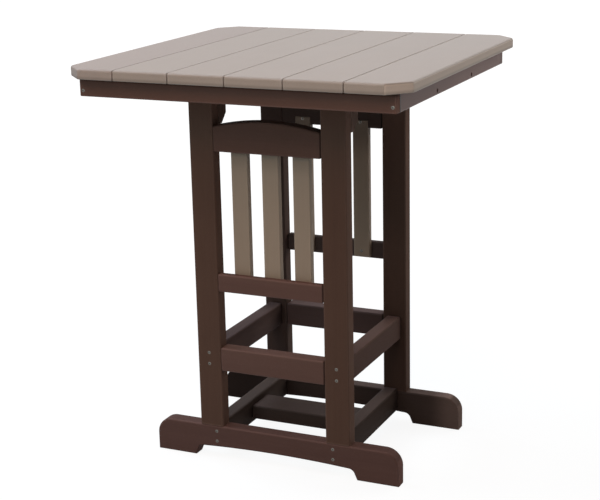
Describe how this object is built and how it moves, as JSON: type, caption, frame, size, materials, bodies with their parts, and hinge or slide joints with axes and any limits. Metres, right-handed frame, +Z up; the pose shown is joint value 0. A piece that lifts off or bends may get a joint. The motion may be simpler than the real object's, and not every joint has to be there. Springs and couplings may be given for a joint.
{
  "type": "tall square dining table",
  "caption": "Tall square outdoor table of plastic lumber: boarded top with clipped corners, apron, trestle base with arched slatted panels, footrest rails and shaped feet.",
  "frame": {"origin": "on the floor, under the middle of the table top", "axes": "+X to the right of the front panel, +Y from the front panel to the back panel, +Z up"},
  "size_m": [0.8586, 0.84, 1.02],
  "materials": {
    "pale_lumber": "fine grained, matt",
    "brown_lumber": "fine grained, matt",
    "screw_steel": "satin"
  },
  "bodies": {
    "root": {"apron_back": "brown_lumber", "apron_corner_screws": "screw_steel", "apron_front": "brown_lumber", "apron_left": "brown_lumber", "apron_right": "brown_lumber", "arch_rail_back": "brown_lumber", "arch_rail_end_screws": "screw_steel", "arch_rail_front": "brown_lumber", "batten_back": "brown_lumber", "batten_end_screws": "screw_steel", "batten_front": "brown_lumber", "foot_back": "brown_lumber", "foot_front": "brown_lumber", "foot_screws": "screw_steel", "footrest_rail_back": "brown_lumber", "footrest_rail_end_screws": "screw_steel", "footrest_rail_front": "brown_lumber", "footrest_rail_left": "brown_lumber", "footrest_rail_right": "brown_lumber", "footrest_side_screws": "screw_steel", "leg_back_left": "brown_lumber", "leg_back_right": "brown_lumber", "leg_block_back_left": "brown_lumber", "leg_block_back_right": "brown_lumber", "leg_block_front_left": "brown_lumber", "leg_block_front_right": "brown_lumber", "leg_block_screws": "screw_steel", "leg_foot_screws": "screw_steel", "leg_front_left": "brown_lumber", "leg_front_right": "brown_lumber", "leg_top_screws": "screw_steel", "low_stretcher_left": "brown_lumber", "low_stretcher_right": "brown_lumber", "lower_rail_back": "brown_lumber", "lower_rail_end_screws": "screw_steel", "lower_rail_front": "brown_lumber", "slat_back_1": "pale_lumber", "slat_back_2": "pale_lumber", "slat_back_3": "pale_lumber", "slat_front_1": "pale_lumber", "slat_front_2": "pale_lumber", "slat_front_3": "pale_lumber", "slat_screws": "screw_steel", "tie_board": "brown_lumber", "tie_board_screws": "screw_steel", "top_board_1": "pale_lumber", "top_board_2": "pale_lumber", "top_board_3": "pale_lumber", "top_board_4": "pale_lumber", "top_board_5": "pale_lumber", "top_board_6": "pale_lumber", "top_board_screws": "screw_steel"}
  },
  "joints": []
}
